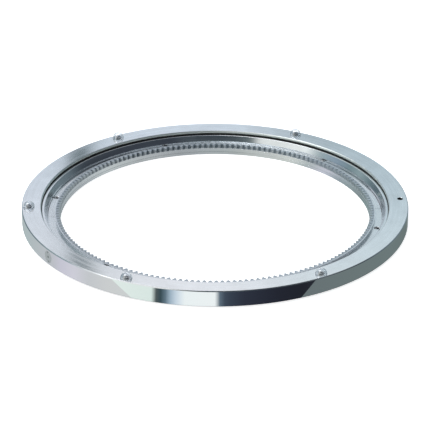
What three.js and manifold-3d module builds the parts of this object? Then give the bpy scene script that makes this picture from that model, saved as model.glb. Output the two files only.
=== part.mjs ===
// Slewing ring bearing with internal gear teeth, in millimetres, +Z up.
// The origin is on the turning axis, in the plane that the bearing stands on.
//
// The inner ring stands still: it has an L-shaped section, and its flange carries a toothed ring made of
// two halves. The outer ring turns round it on a row of balls. The balls go in through a bore in the outer
// ring's side, which a pinned plug then closes.

import * as THREE from 'three';
import { mergeVertices } from 'three/addons/utils/BufferGeometryUtils.js';
import Module from 'manifold-3d';

const wasm = await Module();
wasm.setup();

// Driving dimensions.
const gearModule = 2;
const toothCount = 172;
const pressureAngle = THREE.MathUtils.degToRad(25);
const totalHeight = 20;              // floor to the outer ring's top face
const outerRadius = 212;
const boreRadius = 190.8;            // the outer ring's bore
const floorClearance = 2;            // the outer ring hangs clear of the floor by this much
const fitGap = 0.3;                  // between pieces that touch on the real bearing
const runningGap = 1;                // radial gap between the two rings, where the cage runs
const edgeChamfer = 1;
const ringSides = 72;                // flat sides that stand for a full circle
const holeRadius = 3;                // every mounting hole
const through = totalHeight + 5;     // longer than any hole is deep
const holeSides = 12;

// The stationary ring and its toothed halves.
const rimRadius = boreRadius - runningGap;
const rimTop = 16;
const rimWidth = 2.6;
const rimChamfer = 0.7;
const wallFillet = 0.6;              // where the sloping inner wall turns upright
const flangeTop = 3.5;
const ledgeTop = 7.7;                // the ledge between the teeth and the inner wall; the tooth gaps end here too
const gearTop = 11.4;                // flat top of the toothed rim
const toothBackRadius = 175.7;       // the toothed rim's back, where the ledge begins
const wallBreak = 10.4;              // above this height the inner wall slopes outwards
const tipRadius = gearModule * (toothCount / 2 - 1);
const rootRadius = gearModule * (toothCount / 2 + 1.25);
const wallRadius = 183.6;            // foot of the rim's inner wall, which the toothed halves sit against
const seamTurn = 0.6;                // degrees from the +X axis to the first seam
const gearHoleRadius = 180;          // pitch radius of the inner ring's mounting holes
const gearHoleAngles = [-15, 45, 105, 165, 225, 285];
const segmentEndAngle = 8;           // from a segment's end to its first screw
const screwsPerSegment = 4;
const screwPitchRadius = 178.5;
const screwRadius = 1.5;
const screwHeadRadius = 3;
const screwHeadHeight = 1.6;
const screwTop = ledgeTop - 1.3;

// Balls, cage and seals.
const ballRadius = 3;
const ballCount = 24;
const ballPitchRadius = (boreRadius + rimRadius) / 2;
const ballHeight = 10.4;
const racewayRadius = ballRadius + 0.5;
const racewaySteps = 4;
const cageThickness = runningGap / 2;
const cageHeight = 8;
const pocketSides = 10;
const sealOuterRadius = boreRadius + 1;
const sealInnerRadius = rimRadius + fitGap;
const upperSealBottom = 15;
const upperSealTop = 17.2;
const lowerSealBottom = 3.4;
const lowerSealTop = 5;

// Fittings of the turning ring.
const topHoleRadius = 204;           // pitch radius of the outer ring's mounting holes
const topHoleStep = 60;
const topHoleCount = 6;
const bumperRadius = 6.35;
const bumperSides = 18;
const plugAngle = 210;
const plugRadius = 6.7;
const plugHeight = (totalHeight + floorClearance) / 2;
const plugEyeRadius = 1.3;
const plugDotRadius = 0.8;
const plugDotOffset = 5.1;
const plugEyeDepth = 5;
const plugDotDepth = 1.5;
const plugSides = 20;
const pinRadius = 1.5;
const pinTop = 8.3;

const colours = {
  brightAluminium: { color: 0xc9ced1, roughness: 0.28, metalness: 1 },
  machinedAluminium: { color: 0xb9bec2, roughness: 0.4, metalness: 1 },
  zincSteel: { color: 0xa4a7a8, roughness: 0.45, metalness: 1 },
  bearingSteel: { color: 0xd8dadb, roughness: 0.08, metalness: 1 },
  sealRubber: { color: 0x141416, roughness: 0.75, metalness: 0 },
  cagePlastic: { color: 0xe4dfcf, roughness: 0.6, metalness: 0 },
  clearPlastic: { color: 0xe9eef0, roughness: 0.06, metalness: 0, transparent: true, opacity: 0.35 },
};

const bearing = new THREE.Group();
const radians = THREE.MathUtils.degToRad;

// A point at a radius, an angle in degrees and a height.
function polar(radius, angle, z = 0) {
  return new THREE.Vector3(radius * Math.cos(radians(angle)), radius * Math.sin(radians(angle)), z);
}

function addPart(name, geometry, finish) {
  const mesh = new THREE.Mesh(geometry, new THREE.MeshStandardMaterial(colours[finish]));
  mesh.name = name;
  bearing.add(mesh);
  return mesh;
}

function toSolid(geometry) {
  const bare = geometry.clone();
  bare.deleteAttribute('normal');
  bare.deleteAttribute('uv');
  const merged = mergeVertices(bare, 1e-4);
  const mesh = new wasm.Mesh({
    numProp: 3,
    vertProperties: new Float32Array(merged.attributes.position.array),
    triVerts: new Uint32Array(merged.index.array),
  });
  return new wasm.Manifold(mesh);
}

function toGeometry(solid) {
  const mesh = solid.getMesh();
  const geometry = new THREE.BufferGeometry();
  geometry.setAttribute('position', new THREE.BufferAttribute(new Float32Array(mesh.vertProperties), 3));
  geometry.setIndex(new THREE.BufferAttribute(new Uint32Array(mesh.triVerts), 1));
  geometry.computeVertexNormals();
  return geometry;
}

// A ring turned from a closed outline of [radius, height] points, listed anticlockwise.
function turnedRing(outline) {
  const points = [...outline, outline[0]].map(([radius, z]) => new THREE.Vector2(radius, z));
  return new THREE.LatheGeometry(points, ringSides).rotateX(Math.PI / 2).rotateZ(Math.PI / 2);
}

// A solid turned about its own upright axis, from its outline's [radius, height] points, lowest first.
function turnedSolid(outline) {
  const closed = [[0, outline[0][1]], ...outline, [0, outline[outline.length - 1][1]]];
  const points = closed.map(([radius, z]) => new THREE.Vector2(radius, z));
  return new THREE.LatheGeometry(points, holeSides).rotateX(Math.PI / 2);
}

// An upright cylinder between two heights.
function uprightCylinder(radius, bottom, top, sides) {
  const geometry = new THREE.CylinderGeometry(radius, radius, top - bottom, sides);
  return geometry.rotateX(Math.PI / 2).translate(0, 0, (top + bottom) / 2);
}

// A cylinder that points away from the turning axis, between two radii.
function radialCylinder(radius, inner, outer, angle, height, sides) {
  const geometry = new THREE.CylinderGeometry(radius, radius, outer - inner, sides);
  geometry.rotateZ(-Math.PI / 2).translate((inner + outer) / 2, 0, height);
  return geometry.rotateZ(radians(angle));
}

function drill(solid, geometry) {
  return solid.subtract(toSolid(geometry));
}

// An upright hole right through a ring, on a pitch circle.
function mountingHole(pitchRadius, angle) {
  const { x, y } = polar(pitchRadius, angle);
  return uprightCylinder(holeRadius, -through, through, holeSides).translate(x, y, 0);
}

// Points of the ball groove between two directions round the balls' centre.
function raceway(fromAngle, toAngle) {
  return Array.from({ length: racewaySteps + 1 }, (_, i) => {
    const angle = radians(fromAngle + ((toAngle - fromAngle) * i) / racewaySteps);
    return [ballPitchRadius + racewayRadius * Math.cos(angle), ballHeight + racewayRadius * Math.sin(angle)];
  });
}

// Direction, in degrees, in which the ball groove meets a ring's wall.
const racewayEdge = THREE.MathUtils.radToDeg(Math.acos(runningGap / 2 / racewayRadius));

// ---- The stationary ring ----

function innerRing() {
  const outline = [
    [tipRadius, 0],
    [rimRadius, 0],
    ...raceway(-180 + racewayEdge, -180 - racewayEdge),
    [rimRadius, rimTop],
    [rimRadius - rimWidth, rimTop],
    [rimRadius - rimWidth - rimChamfer, rimTop - rimChamfer],
    [wallRadius + wallFillet, wallBreak + wallFillet],
    [wallRadius, wallBreak],
    [wallRadius, flangeTop],
    [tipRadius, flangeTop],
  ];
  let solid = toSolid(turnedRing(outline));
  for (const angle of gearHoleAngles) {
    solid = drill(solid, mountingHole(gearHoleRadius, angle));
  }
  for (const angle of screwAngles()) {
    solid = drill(solid, screwHole(angle));
  }
  return toGeometry(solid);
}

// Angles of the countersunk screws that hold both toothed halves.
function screwAngles() {
  const step = (180 - 2 * segmentEndAngle) / (screwsPerSegment - 1);
  return [0, 180].flatMap((start) =>
    Array.from({ length: screwsPerSegment }, (_, i) => start + segmentEndAngle + i * step));
}

// A countersunk screw, head down, that starts just inside the flange's bottom face.
function gearScrew() {
  return turnedSolid([
    [screwHeadRadius, fitGap],
    [screwRadius, fitGap + screwHeadHeight],
    [screwRadius, screwTop],
  ]);
}

// The hole for a countersunk screw, blind in the toothed half and open at the flange's bottom face.
function screwHole(angle) {
  const { x, y } = polar(screwPitchRadius, angle);
  const hole = turnedSolid([
    [screwHeadRadius + fitGap, -fitGap],
    [screwHeadRadius + fitGap, fitGap],
    [screwRadius + fitGap, fitGap + screwHeadHeight],
    [screwRadius + fitGap, screwTop + fitGap],
  ]);
  return hole.translate(x, y, 0);
}

// Angle, in radians, that each toothed half keeps clear of the seam at either end.
const seamAngle = fitGap / 2 / rootRadius;

// Points along half a circle, from one seam to the other.
function halfArc(radius) {
  const steps = ringSides / 2;
  return Array.from({ length: steps + 1 }, (_, i) => {
    const angle = THREE.MathUtils.clamp((Math.PI * i) / steps, seamAngle, Math.PI - seamAngle);
    return new THREE.Vector2(radius * Math.cos(angle), radius * Math.sin(angle));
  });
}

// The teeth's outline over half a circle, from the far seam back to the first one.
function toothedArc() {
  const pitchAngle = (2 * Math.PI) / toothCount;
  const halfPitchThickness = (Math.PI * gearModule) / 4;
  const halfTip = (halfPitchThickness - gearModule * Math.tan(pressureAngle)) / tipRadius;
  const halfRoot = (halfPitchThickness + 1.25 * gearModule * Math.tan(pressureAngle)) / rootRadius;
  const points = [];
  const add = (radius, angle) => {
    points.push(new THREE.Vector2(radius * Math.cos(angle), radius * Math.sin(angle)));
  };
  add(rootRadius, Math.PI - seamAngle);
  for (let i = toothCount / 2 - 1; i >= 0; i -= 1) {
    const centre = (i + 0.5) * pitchAngle;
    add(rootRadius, centre + halfRoot);
    add(tipRadius, centre + halfTip);
    add(tipRadius, centre - halfTip);
    add(rootRadius, centre - halfRoot);
  }
  add(rootRadius, seamAngle);
  return points;
}

// A flat outline raised into a solid between two heights.
function raised(outline, bottom, top) {
  const settings = { depth: top - bottom, bevelEnabled: false, steps: 1 };
  const geometry = new THREE.ExtrudeGeometry(new THREE.Shape(outline), settings);
  return toSolid(geometry.translate(0, 0, bottom));
}

// Half of the toothed ring: a plain base, and the toothed rim that stands on its inner edge.
function gearSegment(startAngle) {
  const bottom = flangeTop + fitGap;
  const back = halfArc(wallRadius - fitGap);
  const overlap = 1;
  const base = raised([...back, ...halfArc(tipRadius).reverse()], bottom, ledgeTop);
  const rim = raised([...halfArc(toothBackRadius), ...toothedArc()], ledgeTop - overlap, gearTop);
  let solid = base.add(rim).rotate([0, 0, startAngle]);
  for (const angle of gearHoleAngles) {
    solid = drill(solid, mountingHole(gearHoleRadius, angle));
  }
  for (const angle of screwAngles()) {
    solid = drill(solid, screwHole(angle));
  }
  return toGeometry(solid);
}

addPart('inner_ring', innerRing(), 'brightAluminium');
addPart('gear_segment_a', gearSegment(seamTurn), 'machinedAluminium');
addPart('gear_segment_b', gearSegment(180 + seamTurn), 'machinedAluminium');
screwAngles().forEach((angle, i) => {
  const screw = addPart(`gear_screw_${i + 1}`, gearScrew(), 'zincSteel');
  screw.position.copy(polar(screwPitchRadius, angle));
});

// ---- The turning ring ----

// Outline of the turning ring, with its ball groove and the two seal grooves.
function outerRingOutline() {
  const sealGroove = (bottom, top) => [
    [boreRadius, top + fitGap],
    [sealOuterRadius + fitGap, top + fitGap],
    [sealOuterRadius + fitGap, bottom - fitGap],
    [boreRadius, bottom - fitGap],
  ];
  return [
    [outerRadius - edgeChamfer, floorClearance],
    [outerRadius, floorClearance + edgeChamfer],
    [outerRadius, totalHeight - edgeChamfer],
    [outerRadius - edgeChamfer, totalHeight],
    [boreRadius + edgeChamfer, totalHeight],
    [boreRadius, totalHeight - edgeChamfer],
    ...sealGroove(upperSealBottom, upperSealTop),
    ...raceway(racewayEdge, -racewayEdge),
    ...sealGroove(lowerSealBottom, lowerSealTop),
    [boreRadius, floorClearance],
  ];
}

const outerBlank = toSolid(turnedRing(outerRingOutline()));

// A cylinder right through the turning ring's side, where the loading plug sits.
function plugBore(radius) {
  return radialCylinder(radius, boreRadius - 5, outerRadius + 5, plugAngle, plugHeight, plugSides);
}

// The blind hole, open at the ring's bottom face, for the pin that holds the plug.
function pinHole() {
  const { x, y } = polar(topHoleRadius, plugAngle);
  return uprightCylinder(pinRadius + fitGap, 0, pinTop + fitGap, holeSides).translate(x, y, 0);
}

function outerRing() {
  let solid = drill(drill(outerBlank, plugBore(plugRadius + fitGap)), pinHole());
  for (let i = 0; i < topHoleCount; i += 1) {
    solid = drill(solid, mountingHole(topHoleRadius, i * topHoleStep));
  }
  return toGeometry(solid);
}

// The plug that closes the ball-loading bore, with an eye to pull it by and two staking marks.
function loadingPlug() {
  const outside = outerRadius + 5;
  const hole = (radius, depth, height, sides) =>
    radialCylinder(radius, outerRadius - depth, outside, plugAngle, height, sides);
  let solid = drill(toSolid(plugBore(plugRadius)).intersect(outerBlank), pinHole());
  solid = drill(solid, hole(plugEyeRadius, plugEyeDepth, plugHeight, 10));
  solid = drill(solid, hole(plugDotRadius, plugDotDepth, plugHeight + plugDotOffset, 8));
  solid = drill(solid, hole(plugDotRadius, plugDotDepth, plugHeight - plugDotOffset, 8));
  return toGeometry(solid);
}

function sealRing(bottom, top) {
  return turnedRing([
    [sealInnerRadius, bottom],
    [sealOuterRadius, bottom],
    [sealOuterRadius, top],
    [sealInnerRadius, top],
  ]);
}

// A clear half-ball bumper stuck over a mounting hole.
function bumper() {
  const steps = 5;
  const dome = Array.from({ length: steps }, (_, i) => {
    const angle = (Math.PI / 2) * (i / steps);
    return new THREE.Vector2(bumperRadius * Math.cos(angle), bumperRadius * Math.sin(angle));
  });
  const outline = [new THREE.Vector2(0, 0), ...dome, new THREE.Vector2(0, bumperRadius)];
  return new THREE.LatheGeometry(outline, bumperSides).rotateX(Math.PI / 2);
}

addPart('outer_ring', outerRing(), 'brightAluminium');
addPart('loading_plug', loadingPlug(), 'machinedAluminium');
const pinShape = uprightCylinder(pinRadius, floorClearance + fitGap, pinTop, holeSides);
const pin = addPart('plug_pin', pinShape, 'zincSteel');
pin.position.copy(polar(topHoleRadius, plugAngle));
addPart('upper_seal', sealRing(upperSealBottom, upperSealTop), 'sealRubber');
addPart('lower_seal', sealRing(lowerSealBottom, lowerSealTop), 'sealRubber');
for (let i = 1; i < topHoleCount; i += 1) {
  const dome = addPart(`dome_bumper_${i}`, bumper(), 'clearPlastic');
  dome.position.copy(polar(topHoleRadius, i * topHoleStep, totalHeight + fitGap));
}

// ---- The balls and their cage ----

const ballStep = 360 / ballCount;

function ballCage() {
  const inner = ballPitchRadius - cageThickness / 2;
  const outer = ballPitchRadius + cageThickness / 2;
  const bottom = ballHeight - cageHeight / 2;
  const top = ballHeight + cageHeight / 2;
  let solid = toSolid(turnedRing([[inner, bottom], [outer, bottom], [outer, top], [inner, top]]));
  for (let i = 0; i < ballCount; i += 1) {
    const angle = (i + 0.5) * ballStep;
    const pocket = radialCylinder(ballRadius + fitGap, inner - 5, outer + 5, angle, ballHeight, pocketSides);
    solid = drill(solid, pocket);
  }
  return toGeometry(solid);
}

addPart('ball_cage', ballCage(), 'cagePlastic');
for (let i = 0; i < ballCount; i += 1) {
  const ball = addPart(`ball_${i + 1}`, new THREE.IcosahedronGeometry(ballRadius, 1), 'bearingSteel');
  ball.position.copy(polar(ballPitchRadius, (i + 0.5) * ballStep, ballHeight));
}

export default bearing;
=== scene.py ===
"""Looks of a slewing ring bearing with internal gear teeth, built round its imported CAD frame.

Everything is in metres, in the frame's own axes: +Z is the turning axis and the floor is z = 0.
"""

import math

import bmesh
import bpy
import numpy as np
from mathutils import Matrix, Vector


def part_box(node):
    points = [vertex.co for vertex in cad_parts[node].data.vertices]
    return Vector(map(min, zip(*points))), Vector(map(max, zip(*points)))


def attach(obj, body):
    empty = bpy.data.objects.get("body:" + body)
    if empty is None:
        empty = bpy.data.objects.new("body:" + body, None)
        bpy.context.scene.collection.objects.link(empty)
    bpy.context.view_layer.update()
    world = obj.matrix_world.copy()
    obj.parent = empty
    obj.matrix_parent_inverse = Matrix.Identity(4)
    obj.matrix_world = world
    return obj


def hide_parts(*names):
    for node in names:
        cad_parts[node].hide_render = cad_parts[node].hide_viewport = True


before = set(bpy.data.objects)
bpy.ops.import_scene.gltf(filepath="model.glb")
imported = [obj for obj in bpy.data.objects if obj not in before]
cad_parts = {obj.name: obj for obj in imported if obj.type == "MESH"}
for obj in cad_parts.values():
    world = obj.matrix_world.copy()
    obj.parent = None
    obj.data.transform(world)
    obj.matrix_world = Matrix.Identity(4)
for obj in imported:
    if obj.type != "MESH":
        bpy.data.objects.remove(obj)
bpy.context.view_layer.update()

MM = 0.001
RING_SEGMENTS = 480
HOLE_SEGMENTS = 48

# The view: where the camera stands, seen from the middle of the top face.
VIEW_AZIMUTH = math.radians(-3.07)
VIEW_ELEVATION = math.radians(25.70)
VIEW_ROLL = math.radians(0.14)
VIEW_DISTANCE = 3.302
LENS = 251.8
AIM_BELOW_TOP = 0.0152


# ---- What the frame says ----

def radii(node):
    """Least and greatest distance of a CAD node's corners from the turning axis."""
    corners = np.array([v.co[:2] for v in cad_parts[node].data.vertices])
    distances = np.hypot(corners[:, 0], corners[:, 1])
    return float(distances.min()), float(distances.max())


def heights(node):
    low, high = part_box(node)
    return low.z, high.z


def middle(node):
    low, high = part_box(node)
    return (low + high) / 2


def nodes_named(prefix):
    """CAD nodes called prefix and a number, in the order of their numbers."""
    found = [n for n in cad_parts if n.startswith(prefix) and n[len(prefix):].isdigit()]
    return sorted(found, key=lambda n: int(n[len(prefix):]))


BORE, OUTSIDE = radii("outer_ring")
OUTER_BOTTOM, OUTER_TOP = heights("outer_ring")
TIP, RIM = radii("inner_ring")
RIM_TOP = heights("inner_ring")[1]
GEAR_BACK = radii("gear_segment_a")[1]
GEAR_BOTTOM, GEAR_TOP = heights("gear_segment_a")
BALL_NODES = nodes_named("ball_")
BALL_HEIGHT = middle(BALL_NODES[0]).z
BALL_CIRCLE = math.hypot(*middle(BALL_NODES[0]).xy)
BALL_RADIUS = (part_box(BALL_NODES[0])[1].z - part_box(BALL_NODES[0])[0].z) / 2
FIT_GAP = 0.3 * MM
FLANGE_TOP = GEAR_BOTTOM - FIT_GAP
WALL = GEAR_BACK + FIT_GAP
LEDGE_TOP = 7.7 * MM
SEAM_TURN = 0.6
TOOTH_BACK = 175.7 * MM
WALL_BREAK = 10.4 * MM
TEETH = 172
GEAR_MODULE = TIP / (TEETH / 2 - 1)
HOLE_RADIUS = 3 * MM
TOP_HOLE_CIRCLE = 204 * MM
GEAR_HOLE_CIRCLE = 180 * MM
GEAR_HOLE_START = -15
SIXTH = 60


# ---- Mesh building ----

def rounded(corners, steps=4):
    """A closed outline from (radius, height, rounding) corners, with an arc at each rounded one."""
    points = []
    for i, (r, z, rounding) in enumerate(corners):
        here = Vector((r, z))
        if rounding == 0:
            points.append(here)
            continue
        before = (Vector(corners[i - 1][:2]) - here).normalized()
        after = (Vector(corners[(i + 1) % len(corners)][:2]) - here).normalized()
        half = before.angle(after) / 2
        centre = here + (before + after).normalized() * (rounding / math.sin(half))
        start = here + before * (rounding / math.tan(half)) - centre
        end = here + after * (rounding / math.tan(half)) - centre
        sweep = start.angle_signed(end)
        for k in range(steps + 1):
            turn = -sweep * k / steps
            x = start.x * math.cos(turn) - start.y * math.sin(turn)
            y = start.x * math.sin(turn) + start.y * math.cos(turn)
            points.append(centre + Vector((x, y)))
    return [(p.x, p.y) for p in points]


def mesh_object(name, vertices, faces):
    mesh = bpy.data.meshes.new(name)
    mesh.from_pydata(vertices, [], faces)
    mesh.update()
    piece = bpy.data.objects.new(name, mesh)
    bpy.context.scene.collection.objects.link(piece)
    return piece


def turned(name, outline, segments=RING_SEGMENTS, place=(0, 0, 0)):
    """A ring turned about an upright axis from a closed (radius, height) outline, listed anticlockwise."""
    count = len(outline)
    vertices = []
    for j in range(segments):
        angle = 2 * math.pi * j / segments
        c, s = math.cos(angle), math.sin(angle)
        vertices += [(r * c + place[0], r * s + place[1], z + place[2]) for r, z in outline]
    faces = []
    for j in range(segments):
        here, there = j * count, (j + 1) % segments * count
        for i in range(count):
            k = (i + 1) % count
            faces.append((here + i, there + i, there + k, here + k))
    return mesh_object(name, vertices, faces)


def spun(name, profile, segments=HOLE_SEGMENTS):
    """A solid turned from a (radius, height) profile that starts and ends on its upright axis."""
    inner = profile[1:-1]
    count = len(inner)
    vertices = [(0, 0, profile[0][1]), (0, 0, profile[-1][1])]
    for j in range(segments):
        angle = 2 * math.pi * j / segments
        vertices += [(r * math.cos(angle), r * math.sin(angle), z) for r, z in inner]
    faces = []
    for j in range(segments):
        here, there = 2 + j * count, 2 + (j + 1) % segments * count
        faces.append((0, there, here))
        faces.append((1, here + count - 1, there + count - 1))
        faces += [(here + i, there + i, there + i + 1, here + i + 1) for i in range(count - 1)]
    return mesh_object(name, vertices, faces)


def placed(piece, matrix):
    piece.data.transform(matrix)
    return piece


def on_circle(radius, degrees, height=0.0):
    angle = math.radians(degrees)
    return Matrix.Translation((radius * math.cos(angle), radius * math.sin(angle), height))


def joined(pieces):
    """One object that holds the meshes of several, which are removed."""
    kept = pieces[0]
    shape = bmesh.new()
    for piece in pieces:
        shape.from_mesh(piece.data)
    shape.to_mesh(kept.data)
    shape.free()
    for piece in pieces[1:]:
        bpy.data.objects.remove(piece)
    return kept


def applied(piece):
    """Makes the modifiers of a piece its mesh."""
    shown = piece.evaluated_get(bpy.context.evaluated_depsgraph_get())
    mesh = bpy.data.meshes.new_from_object(shown)
    piece.modifiers.clear()
    piece.data = mesh
    return piece


def boolean(piece, tool, operation="DIFFERENCE", keep_tool=False):
    modifier = piece.modifiers.new("Cut", "BOOLEAN")
    modifier.operation = operation
    modifier.solver = "EXACT"
    modifier.object = tool
    applied(piece)
    if not keep_tool:
        bpy.data.objects.remove(tool)
    return piece


def bevelled(piece, width, segments=2, angle=35):
    modifier = piece.modifiers.new("Edges", "BEVEL")
    modifier.width = width
    modifier.segments = segments
    modifier.limit_method = "ANGLE"
    modifier.angle_limit = math.radians(angle)
    modifier.use_clamp_overlap = True
    return applied(piece)


def smoothed(piece, angle=30):
    """Smooth shading, with edges sharper than the angle kept, and flat faces kept flat."""
    piece.data.shade_smooth()
    piece.data.set_sharp_from_angle(angle=math.radians(angle))
    modifier = piece.modifiers.new("Normals", "WEIGHTED_NORMAL")
    modifier.keep_sharp = True
    modifier.weight = 80
    return piece


def hole_cutter(radius, bottom, top, chamfer):
    """An upright cutter for a hole with chamfered mouths at bottom and top."""
    spare = 0.5 * MM
    return spun("cutter", [
        (0, bottom - spare),
        (radius + chamfer + spare, bottom - spare),
        (radius, bottom + chamfer),
        (radius, top - chamfer),
        (radius + chamfer + spare, top + spare),
        (0, top + spare),
    ])


def finished(piece, node, body, *materials):
    """Gives a piece its materials, ties it to its body, and hides the CAD node it stands for."""
    piece.data.materials.clear()
    for material in materials:
        piece.data.materials.append(material)
    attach(piece, body)
    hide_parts(node)
    return piece


# ---- Materials ----

class Nodes:
    """A short way to write a node tree."""

    def __init__(self, tree):
        self.tree = tree

    def add(self, kind, **inputs):
        node = self.tree.nodes.new(kind)
        for key, value in inputs.items():
            if hasattr(node, key):
                setattr(node, key, value)
            else:
                self.feed(node.inputs[key.replace("_", " ")], value)
        return node

    def feed(self, socket, value):
        if isinstance(value, bpy.types.NodeSocket):
            self.tree.links.new(value, socket)
        else:
            socket.default_value = value

    def math(self, operation, *values):
        node = self.tree.nodes.new("ShaderNodeMath")
        node.operation = operation
        for socket, value in zip(node.inputs, values):
            self.feed(socket, value)
        return node.outputs[0]

    def vector(self, operation, *values):
        node = self.tree.nodes.new("ShaderNodeVectorMath")
        node.operation = operation
        for socket, value in zip(node.inputs, values):
            self.feed(socket, value)
        return node.outputs["Value" if operation == "LENGTH" else "Vector"]

    def scaled(self, value, low, high, to_low, to_high):
        node = self.tree.nodes.new("ShaderNodeMapRange")
        for key, item in (("Value", value), ("From Min", low), ("From Max", high),
                          ("To Min", to_low), ("To Max", to_high)):
            self.feed(node.inputs[key], item)
        return node.outputs[0]

    def noise(self, vector, scale, detail=2.0, roughness=0.5):
        node = self.tree.nodes.new("ShaderNodeTexNoise")
        self.feed(node.inputs["Vector"], vector)
        node.inputs["Scale"].default_value = scale
        node.inputs["Detail"].default_value = detail
        node.inputs["Roughness"].default_value = roughness
        return node.outputs["Fac"]

    def blend(self, factor, first, second, mode="MIX"):
        node = self.tree.nodes.new("ShaderNodeMix")
        node.data_type = "RGBA"
        node.blend_type = mode
        self.feed(node.inputs[0], factor)
        self.feed(node.inputs[6], first)
        self.feed(node.inputs[7], second)
        return node.outputs[2]

    def ramp(self, factor, stops, interpolation="LINEAR"):
        node = self.tree.nodes.new("ShaderNodeValToRGB")
        node.color_ramp.interpolation = interpolation
        elements = node.color_ramp.elements
        while len(elements) > 1:
            elements.remove(elements[-1])
        elements[0].position, elements[0].color = stops[0]
        for position, colour in stops[1:]:
            elements.new(position).color = colour
        self.feed(node.inputs[0], factor)
        return node.outputs[0]


def screen_colour(red, green, blue):
    """A colour given as 0 to 255 screen values, made linear."""
    def linear(value):
        value /= 255
        return value / 12.92 if value <= 0.04045 else ((value + 0.055) / 1.055) ** 2.4
    return (linear(red), linear(green), linear(blue), 1.0)


def new_material(name):
    material = bpy.data.materials.new(name)
    material.use_nodes = True
    nodes = Nodes(material.node_tree)
    shader = material.node_tree.nodes["Principled BSDF"]
    return material, nodes, shader


def lathe_lines(nodes, fineness, wander):
    """A pattern of rings round the turning axis: it runs along the cut and changes across it."""
    place = nodes.add("ShaderNodeTexCoord").outputs["Object"]
    split = nodes.add("ShaderNodeSeparateXYZ", Vector=place)
    flat = nodes.add("ShaderNodeCombineXYZ", X=split.outputs[0], Y=split.outputs[1]).outputs[0]
    radius = nodes.vector("LENGTH", flat)
    direction = nodes.vector("NORMALIZE", flat)
    way = nodes.add("ShaderNodeSeparateXYZ", Vector=direction)
    across = nodes.math("ADD", radius, split.outputs[2])
    return nodes.add(
        "ShaderNodeCombineXYZ",
        X=nodes.math("MULTIPLY", way.outputs[0], wander),
        Y=nodes.math("MULTIPLY", way.outputs[1], wander),
        Z=nodes.math("MULTIPLY", across, fineness),
    ).outputs[0]


def around_axis(nodes):
    """Distance from the turning axis, height, and the surface's upward tilt."""
    coordinates = nodes.add("ShaderNodeTexCoord")
    place = nodes.add("ShaderNodeSeparateXYZ", Vector=coordinates.outputs["Object"])
    flat = nodes.add("ShaderNodeCombineXYZ", X=place.outputs[0], Y=place.outputs[1]).outputs[0]
    normal = nodes.add("ShaderNodeSeparateXYZ", Vector=coordinates.outputs["Normal"])
    return nodes.vector("LENGTH", flat), place.outputs[2], normal.outputs[2]


def turned_metal(name, colour, roughness, spread, line_depth, anisotropy=0.6, tint=0.12):
    """Turned aluminium: fine rings in its roughness, its colour and its bump."""
    material, nodes, shader = new_material(name)
    fine = nodes.noise(lathe_lines(nodes, 2600, 3.0), 1.0, 3.0, 0.6)
    broad = nodes.noise(lathe_lines(nodes, 260, 2.2), 1.0, 2.0)
    place = nodes.add("ShaderNodeTexCoord").outputs["Object"]
    cloud = nodes.noise(place, 38.0, 3.0)
    mixed = nodes.math("ADD", nodes.math("MULTIPLY", fine, 0.55), nodes.math("MULTIPLY", broad, 0.45))
    nodes.feed(shader.inputs["Roughness"],
               nodes.scaled(mixed, 0.3, 0.7, roughness - spread, roughness + spread))
    darker = tuple(c * (1 - tint) for c in colour[:3]) + (1.0,)
    shade = nodes.scaled(nodes.math("ADD", mixed, nodes.math("MULTIPLY", cloud, 0.6)), 0.55, 1.05, 0.0, 1.0)
    nodes.feed(shader.inputs["Base Color"], nodes.blend(shade, darker, colour))
    shader.inputs["Metallic"].default_value = 1.0
    shader.inputs["Anisotropic"].default_value = anisotropy
    tangent = nodes.add("ShaderNodeTangent", direction_type="RADIAL", axis="Z")
    nodes.feed(shader.inputs["Tangent"], tangent.outputs[0])
    bump = nodes.add("ShaderNodeBump", Height=fine, Strength=line_depth, Distance=0.02 * MM)
    nodes.feed(shader.inputs["Normal"], bump.outputs[0])
    return material


def speckled(name, colour, roughness, metallic, scale, depth, tint=0.15):
    """A plain surface with fine grain: moulded, plated or rubber."""
    material, nodes, shader = new_material(name)
    place = nodes.add("ShaderNodeTexCoord").outputs["Object"]
    grain = nodes.noise(place, scale, 4.0, 0.6)
    darker = tuple(c * (1 - tint) for c in colour[:3]) + (1.0,)
    nodes.feed(shader.inputs["Base Color"], nodes.blend(nodes.scaled(grain, 0.3, 0.7, 0, 1), darker, colour))
    nodes.feed(shader.inputs["Roughness"],
               nodes.scaled(grain, 0.3, 0.7, roughness * 0.8, min(1.0, roughness * 1.2)))
    shader.inputs["Metallic"].default_value = metallic
    bump = nodes.add("ShaderNodeBump", Height=grain, Strength=depth, Distance=0.05 * MM)
    nodes.feed(shader.inputs["Normal"], bump.outputs[0])
    return material


def clear_plastic():
    material, nodes, shader = new_material("clear_plastic")
    place = nodes.add("ShaderNodeTexCoord").outputs["Object"]
    haze = nodes.noise(place, 180.0, 3.0)
    nodes.feed(shader.inputs["Roughness"], nodes.scaled(haze, 0.3, 0.7, 0.03, 0.09))
    tone = nodes.scaled(haze, 0.3, 0.7, 0, 1)
    nodes.feed(shader.inputs["Base Color"],
               nodes.blend(tone, (0.93, 0.95, 0.97, 1), (0.98, 0.99, 1, 1)))
    shader.inputs["Transmission Weight"].default_value = 1.0
    shader.inputs["IOR"].default_value = 1.49
    shader.inputs["Coat Weight"].default_value = 1.0
    shader.inputs["Coat IOR"].default_value = 1.9
    shader.inputs["Coat Roughness"].default_value = 0.05
    return material


def reworked(material, share, colour, roughness):
    """Gives the part of a metal's surface that the share picks out another colour and roughness."""
    nodes = Nodes(material.node_tree)
    shader = material.node_tree.nodes["Principled BSDF"]
    for key, other in (("Base Color", colour), ("Roughness", roughness)):
        before = shader.inputs[key].links[0].from_socket
        if key == "Base Color":
            after = nodes.blend(share, before, other)
        else:
            after = nodes.scaled(share, 0, 1, before, other)
        nodes.feed(shader.inputs[key], after)


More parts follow.
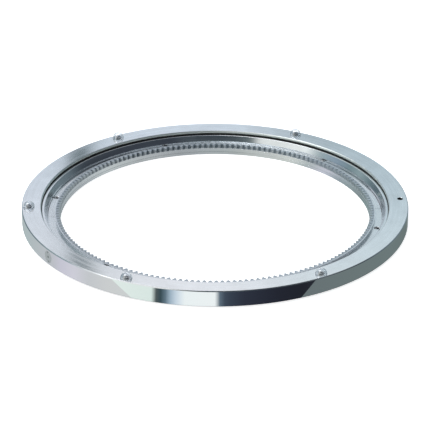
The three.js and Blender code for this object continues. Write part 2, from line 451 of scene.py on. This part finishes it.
def ring_metal():
    """The turning ring's metal: its side is polished, and its bore is plainly machined."""
    material = turned_metal("bright_aluminium", (0.90, 0.92, 0.94, 1), 0.16, 0.06, 0.12, tint=0.2)
    nodes = Nodes(material.node_tree)
    radius, _, tilt = around_axis(nodes)
    bore = nodes.math("MULTIPLY", nodes.scaled(radius, BORE + 1.2 * MM, BORE + 0.8 * MM, 0, 1),
                      nodes.scaled(tilt, 0.85, 0.6, 0, 1))
    on_side = nodes.scaled(tilt, 0.5, 0.2, 0, 1)
    reworked(material, on_side, (0.88, 0.90, 0.91, 1), 0.05)
    reworked(material, bore, (0.92, 0.97, 0.93, 1), 0.5)
    return material


def gear_metal():
    """The toothed halves' metal: the teeth are duller than the rest, and the gaps are rougher, with painted
    shade that makes the foot of each gap darker.
    """
    material = turned_metal("machined_aluminium", (0.87, 0.89, 0.91, 1), 0.26, 0.07, 0.12, anisotropy=0.3)
    nodes = Nodes(material.node_tree)
    radius, height, tilt = around_axis(nodes)
    root = TIP + 2.25 * GEAR_MODULE
    gaps = nodes.scaled(radius, TIP + 0.15 * MM, TIP + 0.5 * MM, 0, 1)
    gaps = nodes.math("MULTIPLY", gaps, nodes.scaled(radius, root + 0.3 * MM, root + 0.1 * MM, 0, 1))
    gaps = nodes.math("MULTIPLY", gaps, nodes.scaled(tilt, 0.6, 0.4, 0, 1))
    gaps = nodes.math("MULTIPLY", gaps, nodes.scaled(height, LEDGE_TOP - 0.2 * MM, LEDGE_TOP, 0, 1))
    # Painted shade: deeper into each gap, towards its foot, the flanks turn from light grey to dark grey.
    foot = nodes.scaled(radius, TIP + 1.5 * MM, root - 0.4 * MM, 0, 1)
    gap_cut_and_shade = nodes.blend(foot, (0.80, 0.83, 0.85, 1), (0.50, 0.55, 0.60, 1))
    reworked(material, gaps, gap_cut_and_shade, 0.42)
    teeth = nodes.math("MULTIPLY", nodes.scaled(height, LEDGE_TOP + 0.2 * MM, LEDGE_TOP + 0.6 * MM, 0, 1),
                       nodes.scaled(radius, root + 0.5 * MM, root + 0.2 * MM, 0, 1))
    duller = nodes.math("MULTIPLY", teeth, nodes.math("SUBTRACT", 1.0, gaps))
    reworked(material, duller, (0.48, 0.52, 0.56, 1), 0.34)
    return material


BRIGHT = ring_metal()
WALL_METAL = turned_metal("turned_aluminium", (0.88, 0.90, 0.92, 1), 0.12, 0.05, 0.10, tint=0.25)
GEAR_METAL = gear_metal()
PLUG_METAL = turned_metal("plug_aluminium", (0.72, 0.77, 0.75, 1), 0.22, 0.06, 0.12)
ZINC = speckled("zinc_steel", (0.60, 0.61, 0.62, 1), 0.42, 1.0, 900, 0.25)
BALL_STEEL = speckled("ball_steel", (0.80, 0.81, 0.82, 1), 0.07, 1.0, 400, 0.02, tint=0.04)
RUBBER = speckled("seal_rubber", (0.012, 0.012, 0.014, 1), 0.7, 0.0, 1400, 0.3, tint=0.35)
NYLON = speckled("cage_nylon", (0.78, 0.75, 0.68, 1), 0.5, 0.0, 500, 0.15, tint=0.08)
CLEAR = clear_plastic()
HOLE_SHADE = speckled("hole_shade", (0.13, 0.15, 0.17, 1), 0.5, 0.0, 600, 0.05)


# ---- The turning ring ----

def raceway_arc(from_degrees, to_degrees, steps=10):
    radius = BALL_RADIUS + 0.12 * MM
    points = []
    for k in range(steps + 1):
        angle = math.radians(from_degrees + (to_degrees - from_degrees) * k / steps)
        points.append((BALL_CIRCLE + radius * math.cos(angle), BALL_HEIGHT + radius * math.sin(angle), 0))
    return points


RACEWAY_EDGE = math.degrees(math.acos((BORE - BALL_CIRCLE) / (BALL_RADIUS + 0.12 * MM)))


def seal_groove(node):
    low, high = heights(node)
    back = radii(node)[1] + FIT_GAP
    return [(BORE, high + FIT_GAP, 0), (back, high + FIT_GAP, 0), (back, low - FIT_GAP, 0),
            (BORE, low - FIT_GAP, 0)]


def outer_ring_outline():
    chamfer = 0.9 * MM
    edge = 0.15 * MM
    return rounded([
        (OUTSIDE - 0.5 * MM, OUTER_BOTTOM, edge),
        (OUTSIDE, OUTER_BOTTOM + 0.5 * MM, edge),
        (OUTSIDE, OUTER_TOP - chamfer, edge),
        (OUTSIDE - chamfer, OUTER_TOP, edge),
        (BORE + chamfer, OUTER_TOP, edge),
        (BORE, OUTER_TOP - chamfer, edge),
        *seal_groove("upper_seal"),
        *raceway_arc(RACEWAY_EDGE, -RACEWAY_EDGE),
        *seal_groove("lower_seal"),
        (BORE, OUTER_BOTTOM + 0.4 * MM, 0),
        (BORE + 0.4 * MM, OUTER_BOTTOM, 0),
    ], steps=3)


def sideways(name, radius, degrees, height, start, end, segments=64):
    """A solid cylinder that points away from the turning axis, between two distances from it."""
    piece = spun(name, [(0, start), (radius, start), (radius, end), (0, end)], segments)
    turn = Matrix.Rotation(math.radians(degrees), 4, "Z") @ Matrix.Rotation(math.pi / 2, 4, "Y")
    return placed(placed(piece, turn), Matrix.Translation((0, 0, height)))


def make_turntable():
    plug_at = middle("loading_plug")
    plug_angle = 210
    plug_low, plug_high = heights("loading_plug")
    plug_radius = (plug_high - plug_low) / 2
    seam = 0.08 * MM
    far = OUTSIDE + 5 * MM
    near = BORE - 5 * MM

    ring = turned("outer_ring_body", outer_ring_outline())
    plug = sideways("loading_plug_body", plug_radius, plug_angle, plug_at.z, near, far)
    boolean(plug, ring, "INTERSECT", keep_tool=True)
    boolean(ring, sideways("cutter", plug_radius + seam, plug_angle, plug_at.z, near, far))
    holes = [placed(hole_cutter(HOLE_RADIUS, OUTER_BOTTOM, OUTER_TOP, 0.35 * MM),
                    on_circle(TOP_HOLE_CIRCLE, SIXTH * i)) for i in range(6)]
    boolean(ring, joined(holes))

    slant = math.radians(11)
    dots = []
    for offset, radius in ((0, 1.3 * MM), (5.1 * MM, 0.85 * MM), (-5.1 * MM, 0.85 * MM)):
        along = offset * math.sin(slant) / OUTSIDE
        height = plug_at.z + offset * math.cos(slant)
        dots.append(sideways("cutter", radius, plug_angle - math.degrees(along), height,
                             OUTSIDE - 2.5 * MM, far, 32))
    boolean(plug, joined(dots))
    finished(smoothed(ring), "outer_ring", "turntable", BRIGHT)
    finished(smoothed(plug), "loading_plug", "turntable", PLUG_METAL)


def make_seals():
    for node in ("upper_seal", "lower_seal"):
        inner, outer = radii(node)
        low, high = heights(node)
        third = (high - low) / 3
        outline = rounded([
            (inner + 0.5 * MM, low, 0.15 * MM),
            (outer, low, 0.2 * MM),
            (outer, high, 0.2 * MM),
            (BORE, high, 0.1 * MM),
            (inner + 0.35 * MM, high - third, 0.2 * MM),
            (inner, high - 1.5 * third, 0.15 * MM),
        ], steps=3)
        finished(smoothed(turned(node + "_lip", outline, 360), 50), node, "turntable", RUBBER)


def bumper_foot_and_hole_shade(reach):
    """What a clear bumper shows inside: a pale foot, and a dark disc of painted shade over the hole it stands
    on, for the dark hole seen through the dome.
    """
    count = HOLE_SEGMENTS
    foot_height = 0.06 * MM
    # The disc is painted shade, raised into the dome, that stands for the dark hole below.
    disc_radius, disc_height = 0.97 * HOLE_RADIUS, 1.4 * MM
    vertices, faces = [], []
    for radius, height in ((reach, foot_height), (disc_radius, disc_height)):
        first = len(vertices)
        vertices += [(radius * math.cos(2 * math.pi * k / count), radius * math.sin(2 * math.pi * k / count),
                      height) for k in range(count)]
        faces.append(tuple(range(first, first + count)))
    foot_and_hole_shade = mesh_object("foot_and_hole_shade", vertices, faces)
    foot_and_hole_shade.data.polygons[0].material_index = 2
    foot_and_hole_shade.data.polygons[1].material_index = 1
    return foot_and_hole_shade


def dome_arc(radius, steps=20):
    """A quarter circle from the dome's foot up to its top."""
    angles = [math.pi / 2 * k / steps for k in range(steps)]
    return [(radius * math.cos(a), radius * math.sin(a)) for a in angles] + [(0, radius)]


def make_bumpers():
    shell_thickness = 0.4 * MM
    for node in nodes_named("dome_bumper_"):
        low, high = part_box(node)
        at = middle(node)
        # The CAD dome has flat sides, so its true radius is its height.
        radius = high.z - low.z
        inside = radius - shell_thickness
        shell = spun(node + "_clear", dome_arc(inside)[::-1] + dome_arc(radius))
        dome = joined([shell, bumper_foot_and_hole_shade(inside - 0.1 * MM)])
        placed(dome, Matrix.Translation((at.x, at.y, OUTER_TOP + 0.02 * MM)))
        finished(smoothed(dome, 50), node, "turntable", CLEAR, HOLE_SHADE, BRIGHT)


def make_pin():
    low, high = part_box("plug_pin")
    at = middle("plug_pin")
    radius = (high.x - low.x) / 2
    edge = 0.25 * MM
    pin = spun("plug_pin_dowel", [(0, low.z), (radius - edge, low.z), (radius, low.z + edge),
                                  (radius, high.z - edge), (radius - edge, high.z), (0, high.z)])
    placed(pin, Matrix.Translation((at.x, at.y, 0)))
    finished(smoothed(pin), "plug_pin", "turntable", ZINC)


# ---- The stationary ring ----

def inner_ring_outline():
    rim_inside = RIM - 2.6 * MM
    return rounded([
        (TIP, 0, 0.3 * MM),
        (RIM, 0, 0.3 * MM),
        *raceway_arc(-180 + RACEWAY_EDGE, -180 - RACEWAY_EDGE),
        (RIM, RIM_TOP, 0.3 * MM),
        (rim_inside, RIM_TOP, 0.7 * MM),
        (WALL, WALL_BREAK, 1.2 * MM),
        (WALL, FLANGE_TOP, 0.1 * MM),
        (TIP, FLANGE_TOP, 0.2 * MM),
    ], steps=6)


def gear_holes(bottom, top):
    return [placed(hole_cutter(HOLE_RADIUS, bottom, top, 0.3 * MM),
                   on_circle(GEAR_HOLE_CIRCLE, GEAR_HOLE_START + SIXTH * i)) for i in range(6)]


def screw_profile(spare, low, top):
    head, shank, head_height = 3 * MM, 1.5 * MM, 1.6 * MM
    return [(0, low), (head + spare, low), (head + spare, FIT_GAP), (shank + spare, FIT_GAP + head_height),
            (shank + spare, top), (0, top)]


def make_inner_ring():
    ring = turned("inner_ring_body", inner_ring_outline())
    cutters = gear_holes(0, FLANGE_TOP)
    for node in nodes_named("gear_screw_"):
        cutter = spun("cutter", screw_profile(0.1 * MM, -MM, FLANGE_TOP + MM))
        cutters.append(placed(cutter, Matrix.Translation((middle(node).x, middle(node).y, 0))))
    boolean(ring, joined(cutters))
    finished(smoothed(ring), "inner_ring", "base", WALL_METAL)


def tooth_front():
    """Half of one tooth's front, as (angle from its middle, radius) pairs from the middle outwards."""
    pressure = math.radians(25)
    pitch_radius = GEAR_MODULE * TEETH / 2
    root_radius = pitch_radius + 1.25 * GEAR_MODULE
    half_pitch_width = math.pi * GEAR_MODULE / 4
    tip_round = 0.25 * MM
    points = [(0, TIP)]
    flank_steps = 5
    for k in range(flank_steps + 1):
        radius = TIP + tip_round + (root_radius - 0.5 * MM - TIP - tip_round) * k / flank_steps
        # The flank's curve bulges a little, as an involute does.
        bulge = 0.08 * MM * math.sin(math.pi * k / flank_steps)
        half_width = half_pitch_width + (radius - pitch_radius) * math.tan(pressure) + bulge
        if k == 0:
            points.append(((half_width - tip_round) / TIP, TIP))
        points.append((half_width / radius, radius))
    half_step = math.pi / TEETH
    foot = points[-1][0]
    points.append((foot + (half_step - foot) * 0.35, root_radius - 0.1 * MM))
    points.append((half_step, root_radius))
    return points


def half_swept(name, sections, start):
    """A half ring swept through (angle, closed outline of (radius, height) points) sections."""
    turn = math.radians(start)
    vertices, faces = [], []
    for angle, outline in sections:
        c, s = math.cos(angle + turn), math.sin(angle + turn)
        vertices += [(r * c, r * s, z) for r, z in outline]
    count = len(sections[0][1])
    for j in range(len(sections) - 1):
        here, there = count * j, count * (j + 1)
        faces += [(here + i, here + (i + 1) % count, there + (i + 1) % count, there + i)
                  for i in range(count)]
    last = count * (len(sections) - 1)
    faces += [tuple(range(count - 1, -1, -1)), tuple(range(last, last + count))]
    return mesh_object(name, vertices, faces)


def toothed_rim(name, start, gap):
    """The part of a half that has the teeth, from their front to the rim's round back."""
    half = tooth_front()
    tooth = [(-a, r) for a, r in reversed(half[1:])] + half
    step = 2 * math.pi / TEETH
    columns = []
    for i in range(TEETH // 2):
        whole = [((i + 0.5) * step + a, r) for a, r in tooth]
        columns += whole if i == 0 else whole[1:]
    columns[0] = (gap, columns[0][1])
    columns[-1] = (math.pi - gap, columns[-1][1])
    bottom = LEDGE_TOP - 0.4 * MM
    sections = [(angle, [(front, bottom), (front, GEAR_TOP), (TOOTH_BACK, GEAR_TOP), (TOOTH_BACK, bottom)])
                for angle, front in columns]
    return bevelled(half_swept(name, sections, start), 0.14 * MM)


def make_gear_segment(node, start):
    """A toothed half: a plain base, with the toothed rim standing on its inner edge."""
    gap = 0.25 * MM / GEAR_BACK
    edge = 0.15 * MM
    rest = FLANGE_TOP + 0.05 * MM
    outline = rounded([
        (TIP, rest, edge),
        (GEAR_BACK, rest, edge),
        (GEAR_BACK, LEDGE_TOP, 0.2 * MM),
        (TIP, LEDGE_TOP, edge),
    ], steps=3)
    steps = RING_SEGMENTS // 2
    sections = [(min(max(math.pi * i / steps, gap), math.pi - gap), list(reversed(outline)))
                for i in range(steps + 1)]
    piece = half_swept(node + "_teeth", sections, start)
    boolean(piece, toothed_rim("rim", start, gap), "UNION")
    boolean(piece, joined(gear_holes(rest, LEDGE_TOP)))
    finished(smoothed(piece), node, "base", GEAR_METAL)


def make_screws():
    key = 1.05 * MM
    for node in nodes_named("gear_screw_"):
        at = middle(node)
        screw = spun(node + "_countersunk", screw_profile(0, FIT_GAP / 2, heights(node)[1]))
        socket = spun("cutter", [(0, -MM), (key, -MM), (key, FIT_GAP + 1.2 * MM), (0, FIT_GAP + 1.5 * MM)], 6)
        boolean(screw, socket)
        placed(screw, Matrix.Translation((at.x, at.y, 0)))
        finished(smoothed(screw), node, "base", ZINC)


# ---- Balls and cage ----

def make_balls():
    shape = bmesh.new()
    bmesh.ops.create_icosphere(shape, subdivisions=4, radius=BALL_RADIUS)
    ball_mesh = bpy.data.meshes.new("ball_round")
    shape.to_mesh(ball_mesh)
    shape.free()
    ball_mesh.shade_smooth()
    for node in BALL_NODES:
        mesh = ball_mesh.copy()
        mesh.transform(Matrix.Translation(middle(node)))
        ball = bpy.data.objects.new(node + "_polished", mesh)
        bpy.context.scene.collection.objects.link(ball)
        finished(ball, node, "ball_cage", BALL_STEEL)


def make_cage():
    # The band fills the middle half of the gap between the two rings, so it touches neither.
    spare = (BORE - RIM) / 4
    inner, outer = RIM + spare, BORE - spare
    low, high = heights("ball_cage")
    edge = 0.1 * MM
    cage = turned("ball_cage_band", rounded([(inner, low, edge), (outer, low, edge), (outer, high, edge),
                                             (inner, high, edge)], steps=2), 360)
    pockets = []
    for node in BALL_NODES:
        at = middle(node)
        degrees = math.degrees(math.atan2(at.y, at.x))
        pockets.append(sideways("cutter", BALL_RADIUS + 0.2 * MM, degrees, at.z, inner - 5 * MM,
                                outer + 5 * MM, 40))
    boolean(cage, joined(pockets))
    finished(smoothed(cage), "ball_cage", "ball_cage", NYLON)


make_turntable()
make_seals()
make_bumpers()
make_pin()
make_inner_ring()
make_gear_segment("gear_segment_a", SEAM_TURN)
make_gear_segment("gear_segment_b", 180 + SEAM_TURN)
make_screws()
make_balls()
make_cage()


# ---- Floor, light and camera ----
#
# Polished metal shows the room round it. The cards and the world's bands stand for that room. Many of their
# tones are the tone that the photo shows at the mirrored place, made a little lighter, so the reflections
# match the photo best from its own viewing angle.

def pale_material(name, colour, glow):
    material, nodes, shader = new_material(name)
    place = nodes.add("ShaderNodeTexCoord").outputs["Object"]
    patch = nodes.noise(place, 3.0, 2.0)
    darker = tuple(c * 0.985 for c in colour[:3]) + (1.0,)
    tone = nodes.blend(patch, darker, colour)
    nodes.feed(shader.inputs["Base Color"], tone)
    nodes.feed(shader.inputs["Emission Color"], tone)
    shader.inputs["Emission Strength"].default_value = glow
    shader.inputs["Roughness"].default_value = 0.8
    shader.inputs["Specular IOR Level"].default_value = 0.0
    return material


def make_floor():
    half = 14.0
    below = 0.2 * MM
    corners = [(-half, -half, 0), (half, -half, 0), (half, half, 0), (-half, half, 0)]
    floor = mesh_object("floor", corners, [(0, 1, 2, 3)])
    floor.location.z = -below
    floor.data.materials.append(pale_material("pale_floor", (0.95, 0.95, 0.95, 1), 0.9))
    floor.visible_glossy = False


def tones(*stops):
    """Ramp stops from (degrees round the axis, colour) pairs."""
    return [(degrees / 360, screen_colour(*colour)) for degrees, colour in stops]


def card_material(name, colour_of):
    """A light-giving surface; colour_of makes its colour from the nodes."""
    material = bpy.data.materials.new(name)
    material.use_nodes = True
    tree = material.node_tree
    tree.nodes.clear()
    nodes = Nodes(tree)
    glow = nodes.add("ShaderNodeEmission", Color=colour_of(nodes), Strength=1.0)
    output = nodes.add("ShaderNodeOutputMaterial")
    tree.links.new(glow.outputs[0], output.inputs["Surface"])
    return material


def reflected_only(card, material):
    """A studio card that shows in polished metal and nowhere else."""
    card.data.materials.append(material)
    card.visible_camera = False
    card.visible_diffuse = False
    card.visible_shadow = False


def turn_share(nodes):
    """How far round the axis a point is, from 0 to 1, counted from the camera's right."""
    place = nodes.add("ShaderNodeSeparateXYZ", Vector=nodes.add("ShaderNodeTexCoord").outputs["Object"])
    angle = nodes.math("MULTIPLY", nodes.math("ARCTAN2", place.outputs[1], place.outputs[0]), 180 / math.pi)
    counted = nodes.math("ADD", angle, 360 - math.degrees(VIEW_AZIMUTH))
    return nodes.math("FRACT", nodes.math("DIVIDE", counted, 360.0))


def make_inside_card():
    """The paper that the lower band of the bearing's inside mirrors. Its tone changes all the way round, and
    it is grey where the floor is white: painted shade for the paper in the rings' shadow.
    """
    low, high = -0.6 * MM, -0.4 * MM
    card = spun("card_inside", [(0, low), (TIP - MM, low), (TIP - MM, high), (0, high)], 96)

    def colour(nodes):
        return nodes.ramp(turn_share(nodes), tones(
            (0, (150, 166, 168)), (14, (130, 150, 150)), (22, (142, 154, 156)), (30, (155, 169, 171)),
            (38, (176, 187, 194)), (46, (214, 215, 226)), (54, (186, 196, 196)), (62, (224, 228, 223)),
            (70, (207, 212, 209)), (78, (200, 205, 202)), (86, (183, 190, 190)), (102, (169, 174, 177)),
            (118, (190, 195, 196)), (134, (204, 211, 211)), (150, (185, 192, 195)), (180, (168, 178, 180)),
            (230, (160, 164, 166)), (320, (156, 162, 164)), (360, (150, 166, 168))))

    reflected_only(card, card_material("inside_paper", colour))


def make_under_card():
    """A dark sheet of painted shade under the rings themselves, for their shadow on the floor there, which
    their holes show.
    """
    low, high = -0.6 * MM, -0.4 * MM
    inner, outer = TIP + MM, OUTSIDE - MM
    card = turned("card_under", [(inner, low), (outer, low), (outer, high), (inner, high)], 96)
    reflected_only(card, card_material("under_shade", lambda nodes: (0.01, 0.01, 0.012, 1)))


def floor_point(degrees, height):
    """Where the floor is seen in the ring's polished side, at an image angle and a height."""
    out = height / math.tan(VIEW_ELEVATION)
    at = math.radians(degrees) + VIEW_AZIMUTH
    away = 2 * math.radians(degrees) + math.pi / 2 + VIEW_AZIMUTH
    return (OUTSIDE * math.cos(at) + out * math.cos(away), OUTSIDE * math.sin(at) + out * math.sin(away))


def make_front_card():
    """The sheet in front of the bearing, laid out by where the photo's camera sees it in the ring's side.

    Its two slanted ends show there.
    """
    tallest, steps, below = 24 * MM, 8, 0.1 * MM
    rows = [k * tallest / steps for k in range(steps + 1)]
    half_degrees = [248 + 0.5 * k for k in range(89)]
    vertices, places = [], []
    for height in rows:
        climb = (height - OUTER_BOTTOM) / (OUTER_TOP - OUTER_BOTTOM)
        left_end, right_end = 246 - 8 * climb, 295.1 + 5.7 * climb
        for degrees in [left_end, *half_degrees, right_end]:
            vertices.append((*floor_point(degrees, height), -below))
            places.append((degrees / 360, climb))
    across = len(half_degrees) + 2
    faces = [(j * across + i, j * across + i + 1, (j + 1) * across + i + 1, (j + 1) * across + i)
             for j in range(len(rows) - 1) for i in range(across - 1)]
    card = mesh_object("card_front", vertices, faces)
    layer = card.data.uv_layers.new(name="angle")
    for loop in card.data.loops:
        layer.data[loop.index].uv = places[loop.vertex_index]

    def colour(nodes):
        place = nodes.add("ShaderNodeTexCoord").outputs["UV"]
        share = nodes.add("ShaderNodeSeparateXYZ", Vector=place).outputs[0]
        return nodes.ramp(share, tones(
            (236, (236, 245, 240)), (252.4, (228, 241, 235)), (253.2, (36, 48, 54)), (254.6, (60, 80, 88)),
            (256.2, (108, 130, 144)), (257.6, (176, 196, 212)), (259.5, (218, 230, 240)),
            (261.5, (246, 252, 252)),
            (270.2, (248, 252, 252)), (271.4, (96, 112, 126)), (273, (62, 72, 86)), (278, (48, 53, 66)),
            (288, (38, 41, 52)), (296, (36, 38, 46)), (302, (44, 48, 56))))

    reflected_only(card, card_material("front_sheet", colour))


def make_back_card():
    """The wall that the flat faces mirror: lighter higher up and towards its middle, with one dark strip.

    The strip stands left of the middle and shows in the ring's top face twice, at the front and at the back.
    """
    distance = 0.7
    half, low, high = 0.42, 0.12, 0.62
    strip_at, strip_edge, strip_end = -0.1445, 0.008, 0.020
    corners = [(-half, distance, low), (half, distance, low), (half, distance, high), (-half, distance, high)]
    card = mesh_object("card_back", corners, [(0, 1, 2, 3)])
    placed(card, Matrix.Rotation(VIEW_AZIMUTH, 4, "Z"))

    def colour(nodes):
        place = nodes.add("ShaderNodeTexCoord").outputs["Object"]
        split = nodes.add("ShaderNodeSeparateXYZ", Vector=place)
        rise = nodes.ramp(nodes.scaled(split.outputs[2], 0.0, 1.0, 0, 1), [
            (0.12, screen_colour(204, 216, 226)), (0.24, screen_colour(222, 232, 243)),
            (0.36, screen_colour(234, 239, 249)), (0.48, screen_colour(250, 251, 255))])
        aside = nodes.ramp(nodes.scaled(split.outputs[0], -0.5, 0.5, 0, 1), [
            (0.1, (0.82, 0.84, 0.86, 1)), (0.25, (0.90, 0.92, 0.93, 1)), (0.46, (1, 1, 1, 1)),
            (0.55, (1, 1, 1, 1)), (0.66, (0.84, 0.90, 0.90, 1)), (0.76, (0.80, 0.90, 0.90, 1)),
            (0.9, (0.74, 0.84, 0.84, 1))])
        patch = nodes.math("MULTIPLY", nodes.scaled(split.outputs[0], 0.06, 0.14, 0, 1),
                           nodes.scaled(split.outputs[2], 0.37, 0.30, 0, 1))
        dimmed = nodes.blend(patch, (1, 1, 1, 1), (0.80, 0.80, 0.79, 1))
        cloud = nodes.noise(place, 9.0, 3.0, 0.6)
        mottled = nodes.blend(nodes.scaled(cloud, 0.35, 0.65, 0, 1), (0.93, 0.95, 0.95, 1), (1, 1, 1, 1))
        wall = nodes.blend(1.0, nodes.blend(1.0, rise, aside, "MULTIPLY"), dimmed, "MULTIPLY")
        plain = nodes.blend(1.0, wall, mottled, "MULTIPLY")
        off = nodes.math("ABSOLUTE", nodes.math("SUBTRACT", split.outputs[0], strip_at))
        strip = nodes.scaled(off, strip_end, strip_edge, 0, 1)
        return nodes.blend(strip, plain, screen_colour(20, 62, 64))

    reflected_only(card, card_material("back_wall", colour))


def make_world():
    """A soft studio: pale at the back, a white softbox on the left, and dark room on the camera's right."""
    world = bpy.data.worlds.new("studio")
    bpy.context.scene.world = world
    world.use_nodes = True
    nodes = Nodes(world.node_tree)
    background = world.node_tree.nodes["Background"]
    look = nodes.add("ShaderNodeTexCoord").outputs["Generated"]
    way = nodes.add("ShaderNodeSeparateXYZ", Vector=look)
    turn = nodes.math("ARCTAN2", way.outputs[1], way.outputs[0])
    turned_round = nodes.math("ADD", turn, 2 * math.pi - VIEW_AZIMUTH)
    round_share = nodes.math("FRACT", nodes.math("DIVIDE", turned_round, 2 * math.pi))
    rise = nodes.math("ARCSINE", way.outputs[2])

    low = nodes.ramp(round_share, tones(
        (0, (112, 124, 124)), (40, (113, 126, 126)), (70, (109, 121, 120)), (98, (180, 190, 192)),
        (106, (178, 188, 190)), (118, (178, 191, 193)), (142, (190, 196, 199)), (158, (197, 199, 205)),
        (166, (208, 206, 219)), (178, (217, 215, 225)), (190, (206, 208, 211)), (204, (214, 215, 215)),
        (236, (214, 220, 218)), (262, (240, 246, 246)), (272, (240, 246, 246)), (280, (48, 53, 66)),
        (316, (60, 64, 72)), (322, (109, 119, 121)), (360, (112, 124, 124))))
    middle_band = nodes.ramp(round_share, tones(
        (0, (62, 68, 76)), (14, (66, 74, 82)), (28, (110, 124, 132)), (46, (118, 134, 141)),
        (64, (134, 152, 160)), (76, (206, 214, 224)), (112, (206, 214, 224)), (122, (118, 138, 146)),
        (134, (98, 116, 124)), (146, (116, 136, 142)), (155, (150, 170, 173)), (166, (124, 147, 152)),
        (177, (146, 165, 182)), (188, (158, 178, 184)), (194, (196, 208, 210)), (200, (250, 255, 253)),
        (237, (248, 254, 250)), (243, (130, 146, 148)), (256, (150, 160, 160)), (284, (140, 150, 152)),
        (300, (62, 68, 78)), (360, (62, 68, 76))))
    high = nodes.ramp(round_share, tones(
        (0, (90, 96, 100)), (60, (150, 156, 162)), (90, (206, 212, 222)), (130, (214, 218, 226)),
        (160, (246, 248, 250)), (236, (246, 248, 246)), (242, (84, 94, 98)), (256, (60, 70, 78)),
        (310, (60, 66, 74)), (360, (90, 96, 100))))
    upper = nodes.blend(nodes.scaled(rise, math.radians(35), math.radians(41), 0, 1), middle_band, high)
    colour = nodes.blend(nodes.scaled(rise, math.radians(-14), math.radians(-8), 0, 1), low, upper)
    nodes.feed(background.inputs["Color"], colour)

    # A long softbox straight overhead, side to side as the camera sees it.
    side = nodes.add("ShaderNodeVectorRotate", Vector=look, Axis=(0, 0, 1), Angle=-VIEW_AZIMUTH)
    spread = nodes.add("ShaderNodeSeparateXYZ", Vector=side.outputs[0])
    lengthways = nodes.scaled(nodes.math("ABSOLUTE", nodes.math("DIVIDE", spread.outputs[0], way.outputs[2])),
                              1.0, 0.8, 0, 1)
    crossways = nodes.scaled(nodes.math("ABSOLUTE", nodes.math("DIVIDE", spread.outputs[1], way.outputs[2])),
                             0.2, 0.13, 0, 1)
    overhead = nodes.scaled(way.outputs[2], 0.3, 0.4, 0, 1)
    softbox = nodes.math("MULTIPLY", nodes.math("MULTIPLY", lengthways, crossways), overhead)
    nodes.feed(background.inputs["Strength"], nodes.scaled(softbox, 0, 1, 1.0, 4.0))


def make_camera():
    camera_data = bpy.data.cameras.new("camera")
    camera_data.lens = LENS
    camera_data.sensor_width = 36
    camera_data.clip_end = 60
    camera = bpy.data.objects.new("camera", camera_data)
    bpy.context.scene.collection.objects.link(camera)
    bpy.context.scene.camera = camera
    away = Vector((math.sin(VIEW_AZIMUTH) * math.cos(VIEW_ELEVATION),
                   -math.cos(VIEW_AZIMUTH) * math.cos(VIEW_ELEVATION), math.sin(VIEW_ELEVATION)))
    top = Vector((0, 0, OUTER_TOP))
    camera.location = top + away * VIEW_DISTANCE
    aim = top - Vector((0, 0, AIM_BELOW_TOP))
    facing = (aim - camera.location).to_track_quat("-Z", "Y")
    camera.rotation_euler = (facing.to_matrix() @ Matrix.Rotation(VIEW_ROLL, 3, "Z")).to_euler()


make_floor()
make_inside_card()
make_under_card()
make_front_card()
make_back_card()
make_world()
make_camera()
bpy.context.scene.view_settings.view_transform = "Standard"
